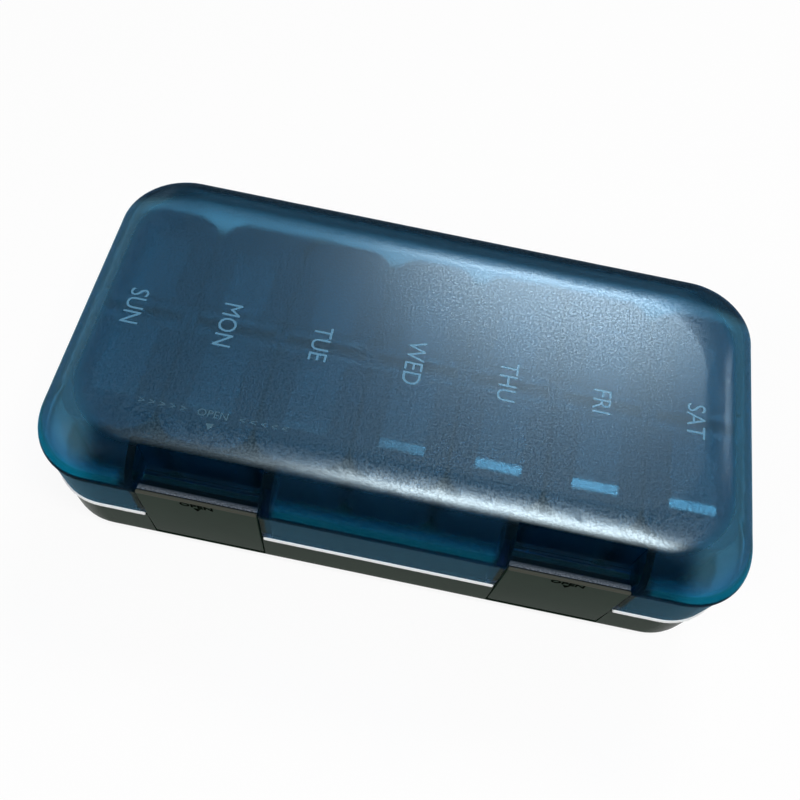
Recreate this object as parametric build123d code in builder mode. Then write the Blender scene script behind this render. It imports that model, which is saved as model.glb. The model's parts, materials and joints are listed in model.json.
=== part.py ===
# Weekly pill organizer: a latched case that holds seven day boxes of two lidded compartments.
# Millimetres. +Z is up, +X runs along the week and -Y faces the person who opens the latches.
# The origin is under the middle of the whole object, case and hinge knuckles together.
import os
from math import copysign, cos, radians, sin, tan

from build123d import *

# One day box
day_names = ("sun", "mon", "tue", "wed", "thu", "fri", "sat")
compartment_width = 19.7
compartment_length = 28.4
compartment_depth = 31.6
compartment_edge_radius = 2.0
box_wall = 1.2
box_floor = 1.2
divider_thickness = 1.6
box_corner_radius = 7.0
box_edge_radius = 2.5
box_gap = 0.4

# Flip lids of a day box
flip_lid_thickness = 1.4
flip_lid_lift = 0.2
flip_lid_overhang = 0.8
plug_depth = 1.2
plug_thickness = 1.0
plug_clearance = 0.3
plug_setback = 6.0
panel_width = 10.6
panel_height = 0.7
panel_end_gap = 10.0
grip_width = 2.2
grip_height = 1.2
barrel_radius = 1.5
barrel_clearance = 0.3
barrel_spacing = 5.0
pivot_radius = 0.8
pivot_play = 0.05
ear_radius = 1.75
ear_thickness = 1.4
ear_clearance = 0.3
deck_thickness = 1.5

# Case
base_height = 18.0
case_floor = 2.4
base_edge_radius = 6.0
floor_edge_radius = 2.0
seal_gap = 1.3
seal_height = 1.2
seal_bulge = 0.4
seal_side_gap = 0.1
skirt_height = 14.7
lid_wall = 2.0
headroom = 5.0
corner_radius = 15.0
crown_corner_radius = 18.7
crown_inset = 16.0
dome_steps = 7
groove_height = 0.8
groove_depth = 0.8
skirt_step = 0.35
draft_angle = 1.2
seal_ledge = 1.3
lip_thickness = 1.1
lip_height = 2.4
lip_clearance = 0.3
lip_relief = 0.5
end_room = 0.9
front_room = 10.1
back_room = 7.7
rail_thickness = 1.5
rail_height = 9.0
rail_clearance = 0.3
foot_width = 9.0
foot_height = 0.4
foot_corner_radius = 6.0

# Latches
latch_width = 27.5
latch_spacing = 84.2
latch_thickness = 2.3
latch_clearance = 0.3
latch_proud = 0.3
latch_lip_thickness = 0.7
latch_lip_height = 0.4
latch_pin_radius = 0.9
latch_pin_height = 7.5
latch_barrel_radius = 2.2
latch_pin_grip = 1.6
pocket_wall = 2.2
finger_depth = 7.8
ledge_drop = 2.5
catch_rib_height = 0.8
catch_rib_width = 0.8
catch_rib_setback = 1.2

# Case hinges
hinge_spacing = 84.2
knuckle_radius = 2.4
knuckle_gap = 0.3
base_knuckle_length = 7.0
lid_knuckle_length = 12.0
hinge_pin_radius = 1.1
fixed_pin_play = 0.02
turning_pin_play = 0.06
web_rise = 6.5
web_angle = 45.0

# Heights that follow
rim_height = base_height + seal_gap + skirt_height
seal_top = base_height + seal_gap
lip_top = base_height + lip_height
box_height = box_floor + compartment_depth
box_rim = case_floor + box_height
plate_bottom = box_rim + flip_lid_lift
plate_top = plate_bottom + flip_lid_thickness
barrel_height = plate_bottom + flip_lid_thickness / 2 - flip_lid_lift
deck_top = barrel_height - barrel_radius - barrel_clearance
case_height = plate_top + grip_height + headroom + lid_wall
crown_height = case_height - rim_height
ledge_height = rim_height - ledge_drop
latch_top = rim_height + latch_proud
hinge_height = base_height + seal_gap / 2

# Lengths and widths that follow
box_width = compartment_width + 2 * box_wall
box_length = 2 * compartment_length + divider_thickness + 2 * box_wall
box_pitch = box_width + box_gap
row_length = len(day_names) * box_pitch - box_gap
lids_length = box_length + 2 * flip_lid_overhang
draft = tan(radians(draft_angle))
parting_inset = skirt_step + (skirt_height - groove_height + seal_gap) * draft
lip_inset = parting_inset + seal_ledge
room_inset = lip_inset + lip_thickness
case_length = row_length + 2 * (end_room + room_inset)
case_width = lids_length + front_room + back_room + 2 * room_inset
front = -case_width / 2
back = case_width / 2
box_middle = front + room_inset + front_room + lids_length / 2

# Latch and hinge places that follow
latch_places = (-latch_spacing / 2, latch_spacing / 2)
slot_half = latch_width / 2 + latch_clearance
pocket_half = slot_half + pocket_wall
latch_back = front + latch_thickness
slot_back = latch_back + latch_clearance
pocket_back = slot_back + pocket_wall
recess_back = front + finger_depth
latch_pin_place = front + room_inset
latch_pin_half = slot_half + latch_pin_grip
latch_socket_radius = latch_barrel_radius + latch_clearance
boss_back = latch_pin_place + latch_socket_radius + lid_wall
hinge_places = (-hinge_spacing / 2, hinge_spacing / 2)
hinge_place = back - parting_inset + knuckle_gap + knuckle_radius
hinge_half = lid_knuckle_length / 2 + knuckle_gap + base_knuckle_length
case_middle = -(hinge_place + knuckle_radius - back) / 2

# Beyond every surface, for cuts that pass right through
beyond = 10.0


def level(height):
    """Horizontal plane at a height, centred on the case."""
    return Plane((0, case_middle, height))


def side(place):
    """Upright plane across the case at a place along X, with Y and Z as its axes."""
    return Plane((place, case_middle, 0), x_dir=(0, 1, 0), z_dir=(1, 0, 0))


def wall_inset(height):
    """How far the drafted outer wall stands inside the rim at a height."""
    return skirt_step + (rim_height - groove_height - height) * draft


def plan(inset, radius=None, mode=Mode.ADD):
    """Rounded outline of the case, drawn in by an inset."""
    corner = corner_radius - inset if radius is None else radius
    RectangleRounded(case_length - 2 * inset, case_width - 2 * inset, corner, mode=mode)


def profile(place, width, points, mode=Mode.ADD):
    """Block of a given width along X with a profile of Y and Z points."""
    with BuildSketch(side(place - width / 2)) as outline:
        with BuildLine():
            Polyline(*points, close=True)
        make_face()
    extrude(outline.sketch, amount=width, mode=mode)


def rod(place, length, centre, radius, mode=Mode.ADD):
    """Round bar along X, centred on a place, through a point of Y and Z."""
    with BuildSketch(side(place - length / 2)) as end_face:
        with Locations(centre):
            Circle(radius)
    extrude(end_face.sketch, amount=length, mode=mode)


def web(place, width, foot, rise):
    """Gusset from the rear wall to a knuckle, rising or hanging from a height."""
    wall_face = back - parting_inset - lid_wall / 2
    shoulder = copysign(knuckle_radius * sin(radians(web_angle)), rise)
    outline = (
        (wall_face, foot),
        (hinge_place, foot),
        (hinge_place + knuckle_radius * cos(radians(web_angle)), hinge_height + shoulder),
        (wall_face, foot + rise),
    )
    profile(place, width, outline)


def dome(thickness):
    """Crowned top of the lid, drawn in by the shell's thickness."""
    corner = corner_radius - thickness
    sections = []
    for step in range(dome_steps + 1):
        angle = radians(90 * step / dome_steps)
        spread = 1 - cos(angle)
        inset = thickness + (crown_inset - thickness) * spread
        with BuildSketch(level(rim_height + (crown_height - thickness) * sin(angle))) as section:
            plan(inset, corner + (crown_corner_radius - corner) * spread)
        sections.append(section.sketch)
    loft(sections)


# Hollow of the lid: the dome's inside, the skirt's inside and the rebate that passes over the lip.
# The latch pockets stand in from the front.
with BuildPart() as lid_hollow:
    dome(lid_wall)
    with BuildSketch(level(seal_top)):
        plan(parting_inset + lid_wall)
    extrude(amount=skirt_height)
    with BuildSketch(level(seal_top)):
        plan(lip_inset - lip_clearance)
    extrude(amount=lip_top + lip_clearance - seal_top)
    pocket_ceiling = ledge_height - lid_wall
    for place in latch_places:
        pocket_outline = (
            (front - beyond, 0),
            (pocket_back, 0),
            (pocket_back, pocket_ceiling),
            (recess_back + lid_wall, pocket_ceiling),
            (recess_back + lid_wall, case_height),
            (front - beyond, case_height),
        )
        profile(place, 2 * pocket_half, pocket_outline, mode=Mode.SUBTRACT)

# Lid: dome, shadow groove, drafted skirt, finger recesses over the latches and rear knuckles
with BuildPart() as lid_shell:
    dome(0)
    with BuildSketch(level(rim_height - groove_height)):
        plan(skirt_step + groove_depth)
    extrude(amount=groove_height)
    for height in (seal_top, rim_height - groove_height):
        with BuildSketch(level(height)):
            plan(wall_inset(height))
    loft(ruled=True)
    add(lid_hollow.part, mode=Mode.SUBTRACT)
    for place in latch_places:
        recess_outline = (
            (front - beyond, 0),
            (slot_back, 0),
            (slot_back, ledge_height),
            (recess_back, ledge_height),
            (recess_back, case_height + beyond),
            (front - beyond, case_height + beyond),
        )
        profile(place, 2 * slot_half, recess_outline, mode=Mode.SUBTRACT)
        rib_back = recess_back - catch_rib_setback
        rib_outline = (
            (rib_back - catch_rib_width, ledge_height - lid_wall / 2),
            (rib_back, ledge_height - lid_wall / 2),
            (rib_back, ledge_height + catch_rib_height),
            (rib_back - catch_rib_width, ledge_height + catch_rib_height),
        )
        profile(place, 2 * slot_half + lid_wall, rib_outline)
    for place in hinge_places:
        web(place, lid_knuckle_length, seal_top, web_rise)
        rod(place, lid_knuckle_length, (hinge_place, hinge_height), knuckle_radius)
        turning_bore = hinge_pin_radius + turning_pin_play
        rod(place, lid_knuckle_length, (hinge_place, hinge_height), turning_bore, mode=Mode.SUBTRACT)
lid_shell.part.label = "lid_shell"

# Hollow of the base, with the latch bosses standing in from the front
with BuildPart() as base_hollow:
    with BuildSketch(level(case_floor)):
        plan(room_inset)
    extrude(amount=lip_top - case_floor + beyond)
    fillet(edges().group_by(Axis.Z)[0], floor_edge_radius)
    for place in latch_places:
        boss_top = latch_pin_height + latch_socket_radius + lid_wall
        boss_outline = (
            (front - beyond, 0),
            (boss_back, 0),
            (boss_back, boss_top - (boss_back - pocket_back)),
            (pocket_back, boss_top),
            (pocket_back, lip_top + 2 * beyond),
            (front - beyond, lip_top + 2 * beyond),
        )
        profile(place, 2 * pocket_half, boss_outline, mode=Mode.SUBTRACT)

# Base: drafted tray with a locating lip, latch slots, box rails, rear knuckles and a raised foot ring
with BuildPart() as base_shell:
    for height in (0, base_height):
        with BuildSketch(level(height)):
            plan(wall_inset(height))
    loft(ruled=True)
    fillet(edges().group_by(Axis.Z)[0], base_edge_radius)
    with BuildSketch(level(base_height)):
        plan(lip_inset)
    extrude(amount=lip_height)
    add(base_hollow.part, mode=Mode.SUBTRACT)
    for place in latch_places:
        with BuildSketch(level(base_height)):
            with Locations((place, front)):
                Rectangle(2 * (pocket_half + pocket_wall), 2 * (pocket_back + lip_relief - front))
        extrude(amount=beyond, mode=Mode.SUBTRACT)
        slot_outline = (
            (front - beyond, base_height + beyond),
            (slot_back, base_height + beyond),
            (slot_back, latch_pin_height),
            (latch_pin_place, latch_pin_height),
            (latch_pin_place, latch_pin_height - latch_socket_radius),
            (front - beyond, latch_pin_height - latch_socket_radius),
        )
        profile(place, 2 * slot_half, slot_outline, mode=Mode.SUBTRACT)
        pin_centre = (latch_pin_place, latch_pin_height)
        rod(place, 2 * slot_half, pin_centre, latch_socket_radius, mode=Mode.SUBTRACT)
        rod(place, 2 * latch_pin_half, pin_centre, latch_pin_radius + fixed_pin_play, mode=Mode.SUBTRACT)
    with BuildSketch(level(case_floor)):
        rail_offset = lids_length / 2 + rail_clearance + rail_thickness / 2
        with Locations((0, box_middle - rail_offset), (0, box_middle + rail_offset)):
            Rectangle(row_length, rail_thickness)
    extrude(amount=rail_height)
    for place in hinge_places:
        for end in (-1, 1):
            knuckle_middle = place + end * (hinge_half - base_knuckle_length / 2)
            web(knuckle_middle, base_knuckle_length, base_height, -web_rise)
            rod(knuckle_middle, base_knuckle_length, (hinge_place, hinge_height), knuckle_radius)
        fixed_bore = hinge_pin_radius + fixed_pin_play
        rod(place, 2 * hinge_half, (hinge_place, hinge_height), fixed_bore, mode=Mode.SUBTRACT)
    with BuildSketch(level(0)):
        plan(base_edge_radius + foot_width, foot_corner_radius)
    extrude(amount=foot_height, mode=Mode.SUBTRACT)
base_shell.part.label = "base_shell"

# Seal: a soft ring on the base's rim, drawn in round the latch pockets and clear of the knuckles
with BuildPart() as rim_seal:
    seal_front = front + parting_inset - seal_bulge
    with BuildSketch(level(base_height)):
        plan(parting_inset - seal_bulge)
        plan(lip_inset - seal_side_gap, mode=Mode.SUBTRACT)
        seal_jog = pocket_back - seal_side_gap - seal_front
        latch_gap = 2 * (slot_half + latch_clearance)
        latch_gap_depth = 2 * (slot_back + seal_side_gap - front)
        for place in latch_places:
            with Locations((place, seal_front + seal_jog / 2)):
                Rectangle(2 * pocket_half, seal_jog)
            with Locations((place, front)):
                Rectangle(latch_gap, latch_gap_depth, mode=Mode.SUBTRACT)
        knuckle_notch = 2 * (parting_inset + seal_side_gap)
        for place in hinge_places:
            with Locations((place, back)):
                Rectangle(2 * (hinge_half + knuckle_gap), knuckle_notch, mode=Mode.SUBTRACT)
    extrude(amount=seal_height)
rim_seal.part.label = "rim_seal"

# Latch: a flat plate hung on a pin near the foot of the case, with a lip along its top
with BuildPart() as latch:
    latch_outline = (
        (front, latch_top + latch_lip_height),
        (front + latch_lip_thickness, latch_top + latch_lip_height),
        (front + latch_lip_thickness, latch_top),
        (latch_back, latch_top),
        (latch_back, latch_pin_height),
        (latch_pin_place - latch_barrel_radius, latch_pin_height),
        (front + parting_inset - latch_proud, base_height),
    )
    profile(0, latch_width, latch_outline)
    rod(0, latch_width, (latch_pin_place, latch_pin_height), latch_barrel_radius)
    latch_bore = latch_pin_radius + turning_pin_play
    rod(0, latch_width, (latch_pin_place, latch_pin_height), latch_bore, mode=Mode.SUBTRACT)

# Pin of one latch, held at both ends in the base's boss
with BuildPart() as latch_pin:
    rod(0, 2 * latch_pin_half, (latch_pin_place, latch_pin_height), latch_pin_radius)

# Pin of one case hinge, flush with the outer knuckles
with BuildPart() as hinge_pin:
    rod(0, 2 * hinge_half, (hinge_place, hinge_height), hinge_pin_radius)

# Front compartment of a day box, as the space that it holds
with BuildPart() as compartment:
    with BuildSketch(level(case_floor + box_floor)):
        with Locations((0, box_middle - (divider_thickness + compartment_length) / 2)):
            Rectangle(compartment_width, compartment_length)
        fillet(vertices().group_by(Axis.Y)[0], box_corner_radius - box_wall)
    extrude(amount=compartment_depth + beyond)
    fillet(edges().group_by(Axis.Z)[0], compartment_edge_radius)

# Plane that divides the front half of a day box from the rear half
box_mirror = Plane((0, case_middle + box_middle, 0), z_dir=(0, 1, 0))
rear_compartment = mirror(compartment.part, about=box_mirror)

# Day box: two compartments with a narrow deck between them and ears that carry the flip lids
with BuildPart() as day_box:
    with BuildSketch(level(case_floor)):
        with Locations((0, box_middle)):
            RectangleRounded(box_width, box_length, box_corner_radius)
    extrude(amount=box_height)
    fillet(edges().group_by(Axis.Z)[0], box_edge_radius)
    add(compartment.part, mode=Mode.SUBTRACT)
    add(rear_compartment, mode=Mode.SUBTRACT)
    with BuildSketch(level(deck_top - deck_thickness)):
        with Locations((0, box_middle)):
            Rectangle(box_width, barrel_spacing + 2 * ear_radius)
    extrude(amount=deck_thickness)
    with BuildSketch(level(deck_top)):
        with Locations((0, box_middle)):
            Rectangle(box_width - 2 * ear_thickness, barrel_spacing + 2 * ear_radius)
    extrude(amount=beyond, mode=Mode.SUBTRACT)
    for place in (ear_thickness / 2 - box_width / 2, box_width / 2 - ear_thickness / 2):
        with BuildSketch(side(place - ear_thickness / 2)):
            with Locations((box_middle, barrel_height)):
                SlotCenterToCenter(barrel_spacing, 2 * ear_radius)
            with Locations((box_middle, (barrel_height + deck_top - deck_thickness) / 2)):
                Rectangle(barrel_spacing + 2 * ear_radius, barrel_height - deck_top + deck_thickness)
        extrude(amount=ear_thickness)
    for end in (-1, 1):
        barrel_place = (box_middle + end * barrel_spacing / 2, barrel_height)
        rod(0, box_width, barrel_place, pivot_radius + pivot_play, mode=Mode.SUBTRACT)

# Front flip lid: plate, raised panel with a grip, plug ridge, hinge barrel and stub pivots
with BuildPart() as flip_lid:
    barrel_place = box_middle - barrel_spacing / 2
    plate_length = lids_length / 2 - barrel_spacing / 2
    plate_front = box_middle - lids_length / 2
    barrel_half = box_width / 2 - ear_thickness - ear_clearance
    with BuildSketch(level(plate_bottom)):
        with Locations((0, plate_front + plate_length / 2)):
            Rectangle(box_width, plate_length)
        fillet(vertices().group_by(Axis.Y)[0], box_corner_radius)
        notch_reach = ear_radius + ear_clearance
        for end in (-1, 1):
            with Locations((end * box_width / 2, barrel_place)):
                Rectangle(2 * (ear_thickness + ear_clearance), 2 * notch_reach, mode=Mode.SUBTRACT)
    extrude(amount=flip_lid_thickness)
    panel_front = plate_front + panel_end_gap
    panel_length = barrel_place - barrel_radius - panel_front
    with BuildSketch(level(plate_top)):
        with Locations((0, panel_front + panel_length / 2)):
            Rectangle(panel_width, panel_length)
    extrude(amount=panel_height)
    with BuildSketch(level(plate_top)):
        with Locations((0, panel_front + grip_width / 2)):
            Rectangle(panel_width, grip_width)
    extrude(amount=grip_height)
    plug_front = box_middle - box_length / 2 + box_wall + plug_clearance
    plug_length = barrel_place - plug_setback - plug_front
    plug_width = compartment_width - 2 * plug_clearance
    plug_corner = box_corner_radius - box_wall - plug_clearance
    with BuildSketch(level(plate_bottom - plug_depth)):
        with Locations((0, plug_front + plug_length / 2)):
            Rectangle(plug_width, plug_length)
        fillet(vertices().group_by(Axis.Y)[0], plug_corner)
        with BuildSketch(mode=Mode.PRIVATE) as plug_inside:
            with Locations((0, plug_front + plug_thickness + plug_length / 2)):
                Rectangle(plug_width - 2 * plug_thickness, plug_length)
            fillet(vertices().group_by(Axis.Y)[0], plug_corner - plug_thickness)
        add(plug_inside.sketch, mode=Mode.SUBTRACT)
    extrude(amount=plug_depth)
    rod(0, 2 * barrel_half, (barrel_place, barrel_height), barrel_radius)
    rod(0, box_width - 2 * pivot_play, (barrel_place, barrel_height), pivot_radius)

# Pieces that repeat along the week
rear_flip_lid = mirror(flip_lid.part, about=box_mirror)
week = {"box": day_box.part, "front_lid": flip_lid.part, "rear_lid": rear_flip_lid}
pieces = [lid_shell.part, base_shell.part, rim_seal.part]
for index, day in enumerate(day_names):
    day_place = (index - (len(day_names) - 1) / 2) * box_pitch
    for kind, shape in week.items():
        piece = Pos(day_place, 0, 0) * shape
        piece.label = f"{day}_{kind}"
        pieces.append(piece)

# Pieces that repeat on the left and the right
for side_name, latch_place, hinge_x in zip(("left", "right"), latch_places, hinge_places):
    pairs = {
        "latch": (latch, latch_place),
        "latch_pin": (latch_pin, latch_place),
        "hinge_pin": (hinge_pin, hinge_x),
    }
    for kind, (shape, place) in pairs.items():
        piece = Pos(place, 0, 0) * shape.part
        piece.label = f"{kind}_{side_name}"
        pieces.append(piece)

os.makedirs("parts", exist_ok=True)
for piece in pieces:
    export_step(piece, f"parts/{piece.label}.step")
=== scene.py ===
"""Weekly pill organizer on a plain floor: frosted blue lid, seven day boxes, dark base and two latches."""

import json
from math import cos, pi, radians, sin

import bmesh
import bpy
from mathutils import Matrix, Vector


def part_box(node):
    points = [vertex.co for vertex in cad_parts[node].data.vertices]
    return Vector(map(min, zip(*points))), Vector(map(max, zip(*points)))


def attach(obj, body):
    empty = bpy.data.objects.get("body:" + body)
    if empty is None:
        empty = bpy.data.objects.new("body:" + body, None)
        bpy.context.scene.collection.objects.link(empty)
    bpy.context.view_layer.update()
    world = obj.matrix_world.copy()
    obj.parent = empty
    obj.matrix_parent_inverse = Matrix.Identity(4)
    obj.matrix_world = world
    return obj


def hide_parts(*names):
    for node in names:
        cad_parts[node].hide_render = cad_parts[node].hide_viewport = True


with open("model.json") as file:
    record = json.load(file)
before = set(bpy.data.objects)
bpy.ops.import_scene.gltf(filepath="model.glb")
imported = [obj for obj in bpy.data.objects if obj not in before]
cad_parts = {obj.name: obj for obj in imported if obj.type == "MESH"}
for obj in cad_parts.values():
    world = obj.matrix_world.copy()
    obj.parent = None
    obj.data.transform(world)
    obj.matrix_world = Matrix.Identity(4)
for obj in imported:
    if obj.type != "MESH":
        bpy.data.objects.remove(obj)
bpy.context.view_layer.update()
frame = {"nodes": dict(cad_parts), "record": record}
nodes = frame["nodes"]
mm = 0.001

# Places of the case, in metres
case_low, case_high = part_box("lid_shell")
latch_low, latch_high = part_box("latch_left")
lid_top = case_high.z

# Camera
camera_azimuth = 0.029
camera_elevation = 1.081
camera_roll = 0.177
camera_distance = 0.2453
camera_target = Vector((-0.003195, 0.0088592, 0))
camera_lens = 38.7
camera_sensor = 36.0


def add_camera():
    """Camera at the photograph's viewing angle."""
    data = bpy.data.cameras.new("camera")
    data.lens = camera_lens
    data.sensor_width = camera_sensor
    data.clip_start = 0.01
    data.clip_end = 20.0
    away = Vector((
        sin(camera_azimuth) * cos(camera_elevation),
        -cos(camera_azimuth) * cos(camera_elevation),
        sin(camera_elevation),
    ))
    level_right = Vector((cos(camera_azimuth), sin(camera_azimuth), 0))
    level_up = away.cross(level_right)
    right = cos(camera_roll) * level_right + sin(camera_roll) * level_up
    up = cos(camera_roll) * level_up - sin(camera_roll) * level_right
    place = camera_target + camera_distance * away
    camera = bpy.data.objects.new("camera", data)
    camera.matrix_world = Matrix.Translation(place) @ Matrix((right, up, away)).transposed().to_4x4()
    bpy.context.scene.collection.objects.link(camera)
    bpy.context.scene.camera = camera


add_camera()
bpy.context.scene.view_settings.view_transform = "Standard"


class Link:
    """Output of a shader node, with sums and products that add Math nodes."""

    def __init__(self, finish, socket):
        self.finish = finish
        self.socket = socket

    def calculate(self, operation, first, second):
        return self.finish.node("ShaderNodeMath", {"operation": operation}, {0: first, 1: second})

    def __add__(self, other):
        return self.calculate("ADD", self, other)

    def __abs__(self):
        return self.calculate("ABSOLUTE", self, 0.0)

    def __sub__(self, other):
        return self.calculate("SUBTRACT", self, other)

    def __rsub__(self, other):
        return self.calculate("SUBTRACT", other, self)

    def __mul__(self, other):
        return self.calculate("MULTIPLY", self, other)

    def __pow__(self, other):
        return self.calculate("POWER", self, other)

    def __gt__(self, other):
        return self.calculate("GREATER_THAN", self, other)

    def __lt__(self, other):
        return self.calculate("LESS_THAN", self, other)

    __radd__ = __add__
    __rmul__ = __mul__


class Finish:
    """Procedural finish built round one Principled shader."""

    def __init__(self, name, **constants):
        self.material = bpy.data.materials.new(name)
        self.material.use_nodes = True
        self.tree = self.material.node_tree
        self.shader = self.tree.nodes["Principled BSDF"]
        self.result = self.tree.nodes["Material Output"]
        self.place = self.node("ShaderNodeTexCoord", output="Object")
        self.surface(**constants)

    def fill(self, made, values):
        for key, value in values.items():
            if isinstance(value, Link):
                self.tree.links.new(value.socket, made.inputs[key])
            else:
                made.inputs[key].default_value = value

    def node(self, kind, settings=None, values=None, output=0):
        """Adds a node, sets it up, fills its sockets and returns one of its outputs."""
        made = self.tree.nodes.new(kind)
        for name, value in (settings or {}).items():
            setattr(made, name, value)
        self.fill(made, values or {})
        return Link(self, made.outputs[output])

    def surface(self, **values):
        """Fills sockets of the Principled shader, with spaces in place of underscores."""
        self.fill(self.shader, {name.replace("_", " "): value for name, value in values.items()})

    def noise(self, scale, detail=2.0):
        """Noise with a number of features per metre."""
        values = {"Vector": self.place, "Scale": scale, "Detail": detail}
        return self.node("ShaderNodeTexNoise", None, values)

    def axes(self):
        """Place on the piece as three separate numbers."""
        split = self.node("ShaderNodeSeparateXYZ", None, {0: self.place}).socket.node
        return [Link(self, output) for output in split.outputs]

    def step(self, value, low, high):
        """Smooth step from 0 at low to 1 at high."""
        settings = {"interpolation_type": "SMOOTHSTEP"}
        return self.node("ShaderNodeMapRange", settings, {0: value, 1: low, 2: high, 3: 0.0, 4: 1.0})

    def blend(self, amount, first, second):
        """Colour from first at 0 to second at 1."""
        values = {"Factor": amount, 6: first, 7: second}
        return self.node("ShaderNodeMix", {"data_type": "RGBA"}, values, output=2)

    def bump(self, height, depth):
        return self.node("ShaderNodeBump", None, {"Height": height, "Distance": depth})

    def show(self, surface):
        self.tree.links.new(surface.socket, self.result.inputs["Surface"])

    def principled(self):
        return Link(self, self.shader.outputs[0])


def lid_finish():
    """Frosted blue plastic: rough glass that soaks up red, hazy and grainy on top, clear at the sides, with
    painted light and shade in its haze colour.
    """
    finish = Finish("lid_plastic", Roughness=0.5, Specular_IOR_Level=0.0)
    x, y, z = finish.axes()

    # Zones of the lid, each a number from 0 to 1
    frost = finish.step(z, 41.0 * mm, 43.6 * mm)
    behind = finish.step(y, 27.0 * mm, 30.0 * mm)
    # Painted shade: a dark band painted along the far crown of the lid.
    painted_far_shade = finish.step(y, 24.5 * mm, 31.0 * mm) * finish.step(z, 36.0 * mm, 38.0 * mm)
    right_end = finish.step(x, 68.0 * mm, 72.0 * mm)
    top = finish.step(z, 43.0 * mm, 44.9 * mm) * (1 - behind) * (1 - 0.6 * right_end)
    left_flank = 0.15 * finish.step(x, -68.0 * mm, -72.0 * mm) * finish.step(z, 40.5 * mm, 42.6 * mm)
    crown = finish.step(z, 43.3 * mm, 44.0 * mm) * (1 - 0.85 * behind)
    dip = 0.2 * finish.step(y, -36.0 * mm, -34.0 * mm) * finish.step(y, -28.0 * mm, -32.0 * mm)
    glossy = (crown + left_flank * (1 - crown)) * (1 - dip)
    # Painted sheen: the haze is painted a lighter grey-teal on both end flanks.
    painted_sheen_flank = finish.step(z, 44.1 * mm, 43.0 * mm) * finish.step(abs(x), 63.0 * mm, 70.0 * mm)
    skirt = z < groove_height
    from_latch = abs(abs(x) - latch_centre)
    latch_bay = 1 - finish.step(from_latch, latch_half + 2.5 * mm, latch_half + 4.5 * mm)
    beside = 1 - (y < case_low.y + 18.0 * mm) * latch_bay
    pocket = (from_latch < latch_half + 0.8 * mm) * (y < -28.0 * mm) * (y > case_low.y + 0.7 * mm)
    # Painted glow: bright teal painted along the lower walls of the lid, away from the latch pockets.
    rim = finish.step(z, 39.8 * mm, 37.0 * mm) * beside * (1 - pocket)
    # Painted shadow: a near-black band painted over the groove and the wall just above it.
    painted_groove_shadow = (z > groove_height - 0.3 * mm) * (z < groove_height + 2.6 * mm) * (1 - pocket)
    olive = skirt * (from_latch < latch_half + 1.6 * mm) * (y < case_low.y + 1.5 * mm)
    edge = finish.node("ShaderNodeLayerWeight", None, {"Blend": 0.5}, output=1) ** 8

    # Colour of the haze in the plastic: grainy teal, with a painted sheen on the end flanks, a painted glow
    # along the lower walls, a painted shadow over the groove and a painted dark band along the far crown;
    # the skirt keeps its own teal and turns olive beside each latch.
    speckle = frost_grain(finish)
    glow = finish.blend(speckle, (0.005, 0.06, 0.11, 1), (0.035, 0.16, 0.27, 1))
    zone_colors = (
        (painted_sheen_flank, (0.14, 0.34, 0.42, 1)),
        (rim, (0.0, 0.6, 1.0, 1)),
        (skirt, (0.045, 0.15, 0.22, 1)),
        (olive, (0.07, 0.08, 0.05, 1)),
        (painted_groove_shadow, (0.0, 0.01, 0.015, 1)),
        (painted_far_shade, (0.01, 0.03, 0.05, 1)),
    )
    for zone, color in zone_colors:
        glow = finish.blend(zone, glow, color)
    finish.surface(Base_Color=glow)

    # Layers, from the clear plastic out to the satin gloss
    through = finish.node(
        "ShaderNodeBsdfRefraction",
        None,
        {
            "Color": (1, 1, 1, 1),
            "Roughness": 0.18 + 0.1 * frost,
            "IOR": 1.35,
            "Normal": finish.bump(finish.noise(1400.0, 2.0) * frost, 0.00004),
        },
    )
    # The haze shares below also carry the painted far shade, painted glow, painted sheen and painted groove
    # shadow.
    top_haze = 0.04 + 0.4 * painted_far_shade + 0.2 * top + 0.2 * edge
    side_haze = 0.05 * rim + 0.14 * painted_sheen_flank + 0.3 * painted_groove_shadow
    skirt_haze = 0.3 * skirt * (1 - pocket) * (1 - 0.9 * (y > 30.0 * mm))
    haze = top_haze + side_haze + skirt_haze
    body = finish.node("ShaderNodeMixShader", None, {0: haze, 1: through, 2: finish.principled()})
    shine = satin_amount(finish, speckle) * (0.03 + 0.97 * glossy) + 0.1 * edge
    solid = finish.node("ShaderNodeMixShader", None, {0: shine, 1: body, 2: satin(finish)})

    # Lamps light the inside straight through the lid
    clear = finish.node("ShaderNodeBsdfTransparent", None, {"Color": (0.85, 0.95, 1, 1)})
    shadow = Link(finish, finish.node("ShaderNodeLightPath").socket.node.outputs["Is Shadow Ray"])
    finish.show(finish.node("ShaderNodeMixShader", None, {0: shadow, 1: solid, 2: clear}))
    soak = finish.node("ShaderNodeVolumeAbsorption", None, {"Color": (0.0, 0.55, 0.75, 1), "Density": 560.0})
    finish.tree.links.new(soak.socket, finish.result.inputs["Volume"])
    return finish.material


def satin(finish):
    """Satin gloss of a frosted mould, its tint painted bluer towards the back in place of a bluer light from
    behind.
    """
    front, back = [
        finish.node("ShaderNodeBsdfAnisotropic", None, {"Color": tint, "Roughness": 0.28})
        for tint in ((0.75, 0.92, 1, 1), (0.64, 0.84, 1, 1))
    ]
    backward = finish.step(finish.axes()[1], -30 * mm, -10 * mm)
    return finish.node("ShaderNodeMixShader", None, {0: backward, 1: front, 2: back})


def frost_grain(finish):
    """Fine speckle of a frosted mould, from 0 to 1."""
    return finish.step(finish.noise(2400.0, 1.0), 0.3, 0.7)


def satin_amount(finish, speckle):
    """Share of the satin gloss, broken up by the speckle, less so along the front edge."""
    y = finish.axes()[1]
    contrast = 0.6 + 0.75 * finish.step(y, -36 * mm, -30 * mm)
    return finish.node("ShaderNodeFresnel", None, {"IOR": 2.0}) * (1 + contrast * (speckle - 0.5))


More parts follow.
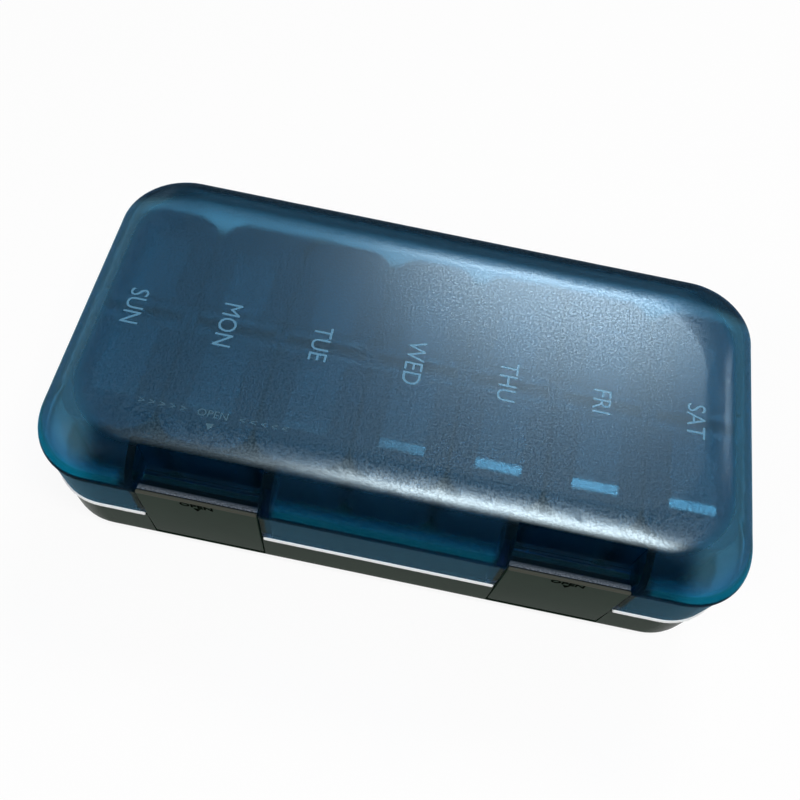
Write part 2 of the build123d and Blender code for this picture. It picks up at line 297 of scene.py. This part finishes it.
def ink_finish(name, color):
    """Print on the lid, under the same satin gloss."""
    finish = Finish(name, Roughness=0.6, Specular_IOR_Level=0.0)
    mottle = finish.noise(1800.0, 2.0)
    finish.surface(Base_Color=finish.blend(mottle, tuple(0.85 * part for part in color[:3]) + (1,), color))
    parts = {0: satin_amount(finish, frost_grain(finish)), 1: finish.principled(), 2: satin(finish)}
    finish.show(finish.node("ShaderNodeMixShader", None, parts))
    return finish.material


def plastic(name, color, roughness, shade=0.8, **more):
    """Moulded plastic with a faint mottle and an uneven polish."""
    finish = Finish(name, **more)
    mottle = finish.noise(140.0, 3.0)
    grain = finish.noise(1500.0, 2.0)
    dark = tuple(shade * part for part in color[:3]) + (1,)
    finish.surface(
        Base_Color=finish.blend(mottle, dark, color),
        Roughness=roughness - 0.05 + 0.1 * grain,
        Normal=finish.bump(grain, 0.00001),
    )
    return finish.material


def latch_finish():
    """Olive plastic with a lighter lip and a grey textured ledge, with painted shade: a fine painted shadow
    line behind the lip and the ledge darkening to painted shadow towards its back.
    """
    finish = Finish("latch_plastic", IOR=1.22, Specular_IOR_Level=0.03)
    y, z = finish.axes()[1:]
    depth = y - latch_low.y
    raised = z > latch_high.z - 0.7 * mm
    ledge = raised * (depth > 0.9 * mm)
    # Painted shade: the raised top turns near-black beyond 2.3 mm back, with a thin painted shadow line at
    # 0.8 to 1 mm.
    shaded = raised * (depth > 2.3 * mm)
    shadow_line = raised * (depth > 0.78 * mm) * (depth < 1.0 * mm)
    lip = finish.step(z, latch_high.z - 1.1 * mm, latch_high.z - 0.3 * mm) * (1 - ledge)
    plain = finish.blend(finish.noise(140.0, 3.0), dark_olive_plastic, olive_plastic)
    grain = finish.noise(3000.0, 2.0)
    speckle = finish.blend(finish.step(grain, 0.35, 0.7), (0.05, 0.06, 0.07, 1), (0.19, 0.21, 0.24, 1))
    # Painted shade: the ledge speckle darkens towards the back.
    speckle = finish.blend(finish.step(depth, 1.2 * mm, 2.4 * mm), speckle, (0.02, 0.03, 0.04, 1))
    color = finish.blend(ledge, finish.blend(lip, plain, (0.07, 0.072, 0.058, 1)), speckle)
    finish.surface(Base_Color=finish.blend(shadow_line + shaded, color, (0.003, 0.005, 0.008, 1)))
    finish.surface(Roughness=0.3 + 0.15 * ledge, Normal=finish.bump(grain * ledge, 0.0001))
    return finish.material


def highlighted_grip_finish():
    """Plastic painted paler and glossier towards the right-hand end of the row, a painted highlight, with a
    faint mottle.
    """
    finish = Finish("grip_plastic_painted_highlight", IOR=2.4)
    x = finish.axes()[0]
    mottle = 0.85 + 0.3 * finish.noise(900.0, 2.0)
    # Painted highlight: colour and gloss grow towards the right-hand end of the row.
    painted_row_highlight = finish.step(x, -25 * mm, 36 * mm) * mottle
    finish.surface(Base_Color=finish.blend(painted_row_highlight, (0.02, 0.04, 0.06, 1), (0.3, 0.36, 0.39, 1)))
    finish.surface(Roughness=0.8 - 0.5 * painted_row_highlight)
    return finish.material


def flip_finish():
    """Slate blue plastic whose raised panel is painted lighter, a painted highlight on the raised part."""
    finish = Finish("flip_lid_plastic")
    # Painted highlight: the raised panel takes a lighter colour.
    panel = finish.axes()[2] > panel_height
    mottle = finish.noise(200.0, 3.0)
    body = finish.blend(mottle, (0.016, 0.036, 0.056, 1), (0.028, 0.052, 0.08, 1))
    finish.surface(Base_Color=finish.blend(panel, body, (0.04, 0.075, 0.105, 1)), Roughness=0.32)
    return finish.material


groove_height = 33.2 * mm
panel_height = 36.9 * mm
latch_centre = abs(latch_low.x + latch_high.x) / 2
latch_half = (latch_high.x - latch_low.x) / 2
olive_plastic = (0.016, 0.034, 0.021, 1)
dark_olive_plastic = (0.011, 0.025, 0.015, 1)

lid = lid_finish()
base = plastic("base_plastic", olive_plastic, 0.25, IOR=1.22, Specular_IOR_Level=0.03)
latch = latch_finish()
seal = plastic("seal", (0.93, 0.94, 0.94, 1), 0.45, shade=0.97)
steel = plastic("pin_steel", (0.6, 0.6, 0.62, 1), 0.3, Metallic=1.0)
box = plastic("day_box_plastic", (0.034, 0.072, 0.105, 1), 0.3)
flip = flip_finish()
grip = highlighted_grip_finish()
print_ink = ink_finish("day_print", (0.1, 0.27, 0.42, 1))
emboss = ink_finish("lid_emboss", (0.05, 0.13, 0.19, 1))
dark_ink = plastic("dark_print", (0.002, 0.003, 0.002, 1), 0.6, Specular_IOR_Level=0.0)
finishes = {
    "lid_plastic": lid,
    "base_plastic": base,
    "latch_plastic": latch,
    "seal": seal,
    "pin_steel": steel,
    "day_box_plastic": box,
    "flip_lid_plastic": flip,
}

merge_distance = 0.00001
edge_softness = {
    "lid_plastic": 0.12 * mm,
    "base_plastic": 0.25 * mm,
    "latch_plastic": 0.3 * mm,
    "seal": 0.35 * mm,
    "pin_steel": 0.2 * mm,
    "day_box_plastic": 0.1 * mm,
    "flip_lid_plastic": 0.1 * mm,
}
bodies = frame["record"]["behaviour"]["bodies"]
body_of = {node: body for body, members in bodies.items() for node in members}


def soften(node, slot):
    """Copy of a CAD node with its moulded edges rounded, shown in the node's place."""
    bm = bmesh.new()
    bm.from_mesh(nodes[node].data)
    bmesh.ops.remove_doubles(bm, verts=bm.verts, dist=merge_distance)
    bmesh.ops.dissolve_limit(bm, angle_limit=radians(0.01), verts=bm.verts, edges=bm.edges)
    bmesh.ops.dissolve_degenerate(bm, dist=merge_distance, edges=bm.edges)
    sharp = [edge for edge in bm.edges if edge.is_manifold and edge.calc_face_angle() > radians(35)]
    bmesh.ops.bevel(
        bm,
        geom=sharp,
        offset=edge_softness[slot],
        offset_type="OFFSET",
        segments=2,
        profile=0.5,
        affect="EDGES",
        clamp_overlap=True,
        material=-1,
    )
    piece = add_piece(f"{node}_moulding", bm, body_of[node], finishes[slot])
    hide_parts(node)
    piece.modifiers.new("even_normals", "WEIGHTED_NORMAL").keep_sharp = True
    return piece


def add_piece(name, bm, body, finish):
    """Object from a bmesh, smooth where its faces meet at a low angle, riding on a body."""
    mesh = bpy.data.meshes.new(name)
    for face in bm.faces:
        face.smooth = True
    bm.to_mesh(mesh)
    bm.free()
    mesh.set_sharp_from_angle(angle=radians(40))
    mesh.materials.append(finish)
    piece = bpy.data.objects.new(name, mesh)
    bpy.context.scene.collection.objects.link(piece)
    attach(piece, body)
    return piece


def lettering(name, text, height, place, turn, thickness, body, finish, stretch=1.0, weight=0.0):
    """Raised letters: place is the text's middle, turn is how it lies and weight thickens the strokes."""
    curve = bpy.data.curves.new(name, "FONT")
    curve.body = text
    curve.size = height
    curve.align_x = "CENTER"
    curve.align_y = "CENTER"
    curve.extrude = thickness / 2
    curve.offset = weight
    curve.resolution_u = 3
    shape = bpy.data.objects.new(name + "_curve", curve)
    bpy.context.scene.collection.objects.link(shape)
    mesh = bpy.data.meshes.new_from_object(shape)
    bpy.data.objects.remove(shape)
    bm = bmesh.new()
    bm.from_mesh(mesh)
    bmesh.ops.remove_doubles(bm, verts=bm.verts, dist=merge_distance / 10)
    layout = Matrix.Translation(place) @ turn @ Matrix.Diagonal((stretch, 1, 1, 1))
    bmesh.ops.transform(bm, matrix=layout, verts=bm.verts)
    return add_piece(name, bm, body, finish)


def arrow(name, size, place, turn, thickness, body, finish):
    """Small raised triangle that points down the face."""
    bm = bmesh.new()
    bmesh.ops.create_cone(
        bm,
        cap_ends=True,
        segments=3,
        radius1=size,
        radius2=size,
        depth=thickness,
        matrix=Matrix.Rotation(pi, 4, "Z"),
    )
    bmesh.ops.transform(bm, matrix=Matrix.Translation(place) @ turn, verts=bm.verts)
    return add_piece(name, bm, body, finish)


for subpart in frame["record"]["subparts"]:
    soften(subpart["node"], subpart["material_slot"])

# Day names, read from the right-hand end of the case
days = ("sun", "mon", "tue", "wed", "thu", "fri", "sat")
day_pitch = 22.12 * mm
day_height = 6.2 * mm
day_offset = Vector((-1.3 * mm, -4.9 * mm, lid_top - 0.02 * mm))
sideways = Matrix.Rotation(radians(-90), 4, "Z")
ink_thickness = 0.06 * mm
for index, day in enumerate(days):
    place = day_offset + Vector(((index - 3) * day_pitch, 0, 0))
    name = f"day_name_{day}"
    lettering(name, day.upper(), day_height, place, sideways, ink_thickness, "case_lid", print_ink, 0.85)

# Word between arrows, embossed at the front of the lid
flat = Matrix.Identity(4)
note = "> > > > >   OPEN   < < < < <"
note_place = Vector((-42 * mm, -28.1 * mm, lid_top - 0.01 * mm))
note_arrow_place = note_place - Vector((0, 2.8 * mm, 0))
lettering("lid_note", note, 2.5 * mm, note_place, flat, ink_thickness, "case_lid", emboss, 1.1)
arrow("lid_arrow", 1.1 * mm, note_arrow_place, flat, ink_thickness, "case_lid", emboss)

# Word and arrow on each latch
upright = Matrix.Rotation(radians(90), 4, "X")
stamp_thickness = 0.1 * mm
for side in ("left", "right"):
    low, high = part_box(f"latch_{side}")
    place = Vector(((low.x + high.x) / 2, low.y + 0.03 * mm, high.z - 1.9 * mm))
    body = f"latch_{side}"
    word = f"latch_word_{side}"
    lettering(word, "OPEN", 2.6 * mm, place, upright, stamp_thickness, body, dark_ink, 1.15, 0.05 * mm)
    place.z -= 1.9 * mm
    arrow(f"latch_arrow_{side}", 0.9 * mm, place, upright, stamp_thickness, body, dark_ink)

# Sloped fingertip grip at the outer end of each front panel, in the flip lid plastic at the first three and
# with the painted highlight at the rest
grip_end = 8.1 * mm
grip_start = 10.05 * mm
grip_half = 5.3 * mm
plain_grips = 3
grip_foot = -1.3 * mm
outline = ((grip_end, grip_foot), (grip_start, grip_foot), (grip_start, -0.05 * mm), (grip_end, -0.9 * mm))
for index, day in enumerate(days):
    low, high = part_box(f"{day}_front_lid")
    middle = (low.x + high.x) / 2
    bm = bmesh.new()
    corners = [bm.verts.new((middle - grip_half, low.y + back, high.z + up)) for back, up in outline]
    side_face = bm.faces.new(corners)
    spread = bmesh.ops.extrude_face_region(bm, geom=[side_face])["geom"]
    moved = [part for part in spread if isinstance(part, bmesh.types.BMVert)]
    bmesh.ops.translate(bm, vec=(2 * grip_half, 0, 0), verts=moved)
    bmesh.ops.recalc_face_normals(bm, faces=bm.faces)
    add_piece(f"{day}_front_grip", bm, f"{day}_front_lid", flip if index < plain_grips else grip)


def paper():
    """White paper that the camera, gloss and clear plastic see nearly white, with the object's shadow."""
    finish = Finish("paper", Base_Color=(0.93, 0.93, 0.93, 1), Roughness=0.9)
    paths = finish.node("ShaderNodeLightPath").socket.node
    seen = 0.0
    for kind in ("Camera", "Glossy", "Transmission"):
        seen = seen + Link(finish, paths.outputs[f"Is {kind} Ray"])
    glow = finish.node("ShaderNodeEmission", None, {"Color": (1, 1, 1, 1), "Strength": 1.0})
    finish.show(finish.node("ShaderNodeMixShader", None, {0: 0.9 * seen, 1: finish.principled(), 2: glow}))
    return finish.material


def add_stage():
    """Round paper floor with a low wall at its far rim."""
    bm = bmesh.new()
    bmesh.ops.create_circle(bm, cap_ends=True, segments=64, radius=3.0)
    rim = bmesh.ops.extrude_edge_only(bm, edges=list(bm.edges))["geom"]
    raised = [part for part in rim if isinstance(part, bmesh.types.BMVert)]
    bmesh.ops.translate(bm, vec=(0, 0, 0.8), verts=raised)
    bmesh.ops.translate(bm, vec=(0, 0, -0.2 * mm), verts=bm.verts)
    mesh = bpy.data.meshes.new("floor")
    bm.to_mesh(mesh)
    bm.free()
    mesh.materials.append(paper())
    floor = bpy.data.objects.new("floor", mesh)
    bpy.context.scene.collection.objects.link(floor)


def add_world():
    world = bpy.data.worlds.new("studio")
    bpy.context.scene.world = world
    world.use_nodes = True
    world.node_tree.nodes["Background"].inputs["Color"].default_value = (1, 1, 1, 1)
    world.node_tree.nodes["Background"].inputs["Strength"].default_value = 0.15


def add_lamp(name, place, target, size, size_y, power):
    data = bpy.data.lights.new(name, "AREA")
    data.shape = "RECTANGLE"
    data.size = size
    data.size_y = size_y
    data.energy = power
    lamp = bpy.data.objects.new(name, data)
    direction = Vector(target) - Vector(place)
    lamp.matrix_world = Matrix.Translation(place) @ direction.to_track_quat("-Z", "Y").to_matrix().to_4x4()
    bpy.context.scene.collection.objects.link(lamp)


add_stage()
add_world()
add_lamp("back_softbox", (0.155, 0.60, 0.686), (0.03, 0, 0.04), 0.35, 0.2, 2.15)
add_lamp("top_softbox", (0.21, -0.16, 0.80), (0.21, -0.1599, 0), 0.52, 0.10, 3.8)
add_lamp("side_softbox", (0.68, 0.42, 0.42), (0.03, 0, 0.04), 0.08, 0.08, 0.15)
add_lamp("left_softbox", (-0.6, -0.5, 0.6), (0, 0, 0.02), 0.4, 0.4, 1.8)
add_lamp("corner_softbox", (-0.83, -0.258, 0.472), (-0.07, -0.036, 0.042), 0.1, 0.1, 0.5)
